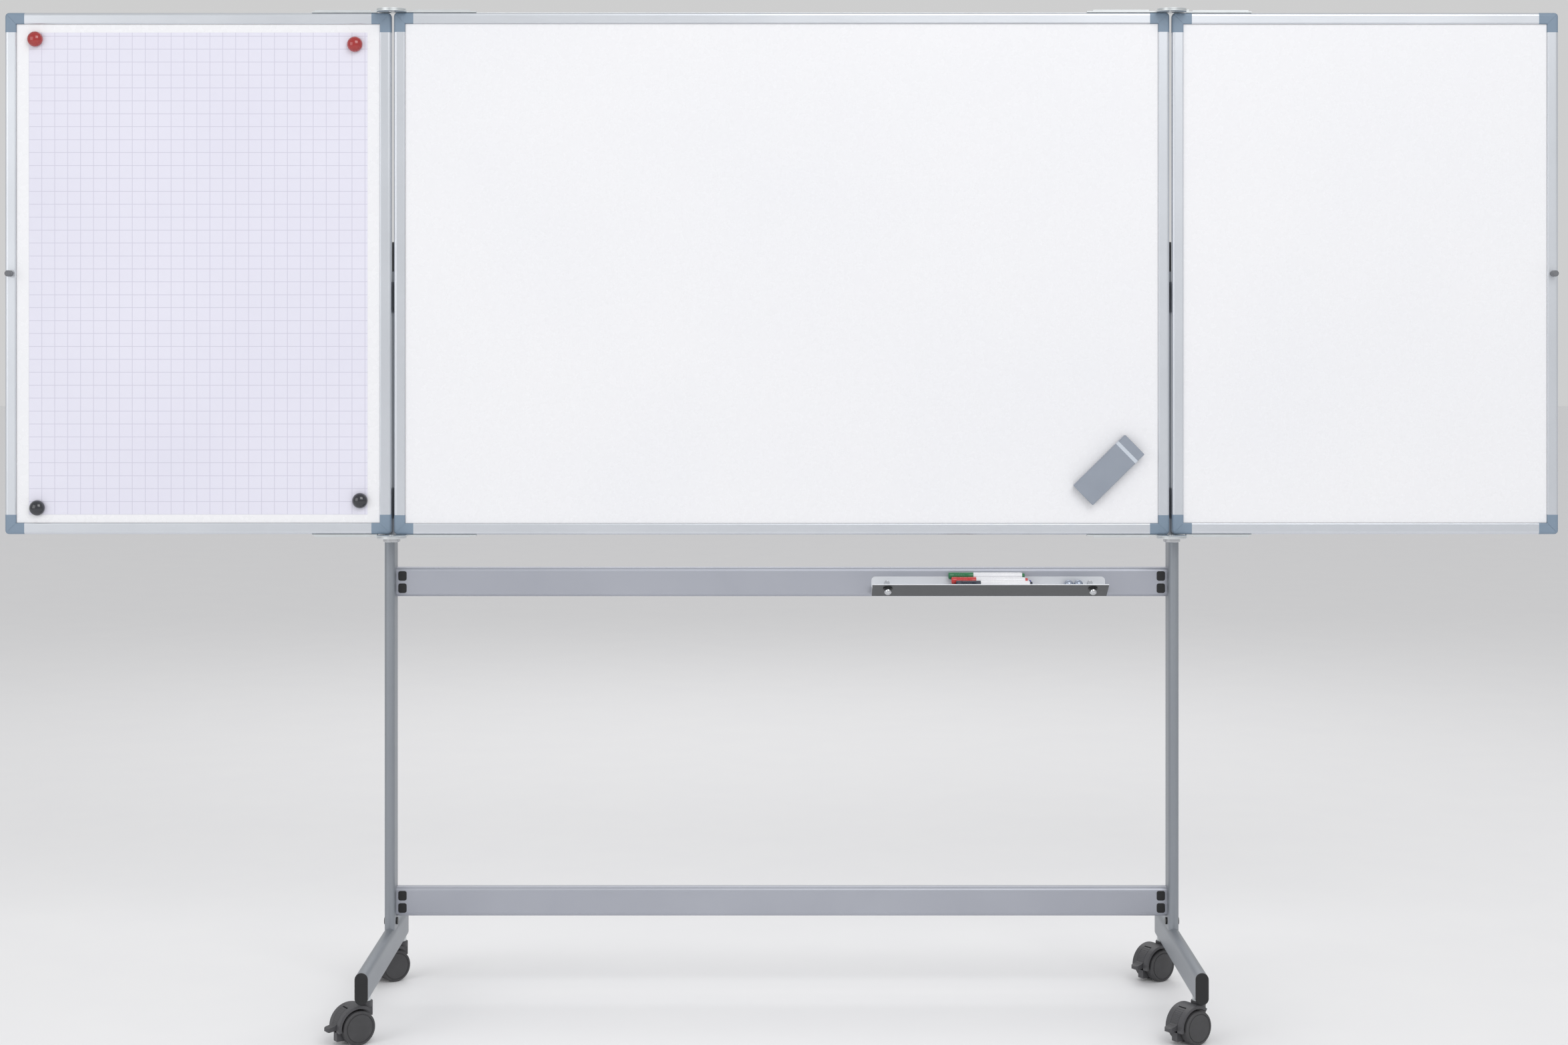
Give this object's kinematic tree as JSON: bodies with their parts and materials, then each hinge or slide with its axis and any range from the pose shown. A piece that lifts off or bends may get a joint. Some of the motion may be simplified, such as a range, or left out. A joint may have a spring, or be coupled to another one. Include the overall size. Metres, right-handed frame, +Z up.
{
  "type": "rolling whiteboard",
  "caption": "Mobile folding whiteboard: fixed centre panel with two hinged wings on a wheeled stand, with pen tray, markers, magnets, paper and eraser.",
  "frame": {"origin": "on the floor, under the middle of the object", "axes": "+X to the reader's right, -Y towards the reader, +Z up"},
  "size_m": [3.004, 0.5176, 1.9178],
  "materials": {
    "frame_aluminium": "satin anodised",
    "corner_plastic": "satin moulded",
    "board_enamel": "glossy enamel",
    "core_board": "bare fibre board",
    "tube_silver": "silver powder coat",
    "fitting_silver": "silver powder coat",
    "black_plastic": "satin moulded",
    "bracket_steel": "zinc plated",
    "screw_steel": "zinc plated",
    "hinge_steel": "zinc plated",
    "pivot_steel": "bright",
    "castor_plastic": "moulded",
    "wheel_plastic": "moulded",
    "axle_steel": "bright",
    "tray_aluminium": "satin anodised",
    "knob_chrome": "polished",
    "marker_plastic": "moulded",
    "tray_magnet": "metallic blue grey",
    "ball_magnet": "glossy",
    "paper": "uncoated paper",
    "felt": "felt",
    "eraser_metal": "satin",
    "buffer_rubber": "moulded"
  },
  "bodies": {
    "stand": {"column_left": "tube_silver", "column_right": "tube_silver", "column_caps": "black_plastic", "foot_left": "tube_silver", "foot_right": "tube_silver", "foot_end_caps": "black_plastic", "crossbar_upper": "tube_silver", "crossbar_lower": "tube_silver", "crossbar_ends": "fitting_silver", "stand_plugs": "black_plastic", "board_brackets": "bracket_steel", "board_screws": "screw_steel", "castor_stems": "axle_steel", "centre_frame": "frame_aluminium", "centre_corners": "corner_plastic", "centre_sheets": "board_enamel", "centre_core": "core_board", "centre_hinge_plates": "hinge_steel", "hinge_pivots": "pivot_steel", "pen_tray": "tray_aluminium", "tray_knobs": "knob_chrome", "tray_screws": "screw_steel", "markers": "marker_plastic", "tray_magnets": "tray_magnet", "eraser_cover": "eraser_metal", "eraser_felt": "felt"},
    "left_wing": {"left_frame": "frame_aluminium", "left_corners": "corner_plastic", "left_sheets": "board_enamel", "left_core": "core_board", "left_buffer": "buffer_rubber", "left_hinge_plates": "hinge_steel", "paper_sheet": "paper", "ball_magnets": "ball_magnet"},
    "right_wing": {"right_frame": "frame_aluminium", "right_corners": "corner_plastic", "right_sheets": "board_enamel", "right_core": "core_board", "right_buffer": "buffer_rubber", "right_hinge_plates": "hinge_steel"},
    "front_left_castor": {"front_left_hood": "castor_plastic", "front_left_axle": "axle_steel"},
    "front_left_spin_a": {"front_left_wheel_a": "wheel_plastic"},
    "front_left_spin_b": {"front_left_wheel_b": "wheel_plastic"},
    "front_left_brake": {"front_left_lever": "castor_plastic"},
    "rear_left_castor": {"rear_left_hood": "castor_plastic", "rear_left_axle": "axle_steel"},
    "rear_left_spin_a": {"rear_left_wheel_a": "wheel_plastic"},
    "rear_left_spin_b": {"rear_left_wheel_b": "wheel_plastic"},
    "rear_left_brake": {"rear_left_lever": "castor_plastic"},
    "front_right_castor": {"front_right_hood": "castor_plastic", "front_right_axle": "axle_steel"},
    "front_right_spin_a": {"front_right_wheel_a": "wheel_plastic"},
    "front_right_spin_b": {"front_right_wheel_b": "wheel_plastic"},
    "front_right_brake": {"front_right_lever": "castor_plastic"},
    "rear_right_castor": {"rear_right_hood": "castor_plastic", "rear_right_axle": "axle_steel"},
    "rear_right_spin_a": {"rear_right_wheel_a": "wheel_plastic"},
    "rear_right_spin_b": {"rear_right_wheel_b": "wheel_plastic"},
    "rear_right_brake": {"rear_right_lever": "castor_plastic"}
  },
  "joints": [
    {"name": "left_wing_fold", "type": "hinge", "parent": "stand", "child": "left_wing", "pos_m": [-0.7525, 0.0475, 1.406], "axis": [0, 0, 1], "range_deg": [0, 180]},
    {"name": "right_wing_fold", "type": "hinge", "parent": "stand", "child": "right_wing", "pos_m": [0.7525, 0.0475, 1.406], "axis": [0, 0, -1], "range_deg": [0, 180]},
    {"name": "front_left_swivel", "type": "hinge", "parent": "stand", "child": "front_left_castor", "pos_m": [-0.762, -0.21, 0.06], "axis": [0, 0, 1], "continuous": true},
    {"name": "front_left_roll_a", "type": "hinge", "parent": "front_left_castor", "child": "front_left_spin_a", "pos_m": [-0.78009, -0.22252, 0.031], "axis": [0.5693, -0.8221, 0], "continuous": true},
    {"name": "front_left_roll_b", "type": "hinge", "parent": "front_left_castor", "child": "front_left_spin_b", "pos_m": [-0.78009, -0.22252, 0.031], "axis": [0.5693, -0.8221, 0], "continuous": true},
    {"name": "front_left_brake_press", "type": "hinge", "parent": "front_left_castor", "child": "front_left_brake", "pos_m": [-0.79536, -0.2331, 0.06317], "axis": [0.5693, -0.8221, 0], "range_deg": [0, 4]},
    {"name": "rear_left_swivel", "type": "hinge", "parent": "stand", "child": "rear_left_castor", "pos_m": [-0.762, 0.23, 0.06], "axis": [0, 0, 1], "continuous": true},
    {"name": "rear_left_roll_a", "type": "hinge", "parent": "rear_left_castor", "child": "rear_left_spin_a", "pos_m": [-0.78009, 0.21748, 0.031], "axis": [0.5693, -0.8221, 0], "continuous": true},
    {"name": "rear_left_roll_b", "type": "hinge", "parent": "rear_left_castor", "child": "rear_left_spin_b", "pos_m": [-0.78009, 0.21748, 0.031], "axis": [0.5693, -0.8221, 0], "continuous": true},
    {"name": "rear_left_brake_press", "type": "hinge", "parent": "rear_left_castor", "child": "rear_left_brake", "pos_m": [-0.79536, 0.2069, 0.06317], "axis": [0.5693, -0.8221, 0], "range_deg": [0, 4]},
    {"name": "front_right_swivel", "type": "hinge", "parent": "stand", "child": "front_right_castor", "pos_m": [0.762, -0.21, 0.06], "axis": [0, 0, 1], "continuous": true},
    {"name": "front_right_roll_a", "type": "hinge", "parent": "front_right_castor", "child": "front_right_spin_a", "pos_m": [0.74391, -0.22252, 0.031], "axis": [0.5693, -0.8221, 0], "continuous": true},
    {"name": "front_right_roll_b", "type": "hinge", "parent": "front_right_castor", "child": "front_right_spin_b", "pos_m": [0.74391, -0.22252, 0.031], "axis": [0.5693, -0.8221, 0], "continuous": true},
    {"name": "front_right_brake_press", "type": "hinge", "parent": "front_right_castor", "child": "front_right_brake", "pos_m": [0.72864, -0.2331, 0.06317], "axis": [0.5693, -0.8221, 0], "range_deg": [0, 4]},
    {"name": "rear_right_swivel", "type": "hinge", "parent": "stand", "child": "rear_right_castor", "pos_m": [0.762, 0.23, 0.06], "axis": [0, 0, 1], "continuous": true},
    {"name": "rear_right_roll_a", "type": "hinge", "parent": "rear_right_castor", "child": "rear_right_spin_a", "pos_m": [0.74391, 0.21748, 0.031], "axis": [0.5693, -0.8221, 0], "continuous": true},
    {"name": "rear_right_roll_b", "type": "hinge", "parent": "rear_right_castor", "child": "rear_right_spin_b", "pos_m": [0.74391, 0.21748, 0.031], "axis": [0.5693, -0.8221, 0], "continuous": true},
    {"name": "rear_right_brake_press", "type": "hinge", "parent": "rear_right_castor", "child": "rear_right_brake", "pos_m": [0.72864, 0.2069, 0.06317], "axis": [0.5693, -0.8221, 0], "range_deg": [0, 4]}
  ]
}
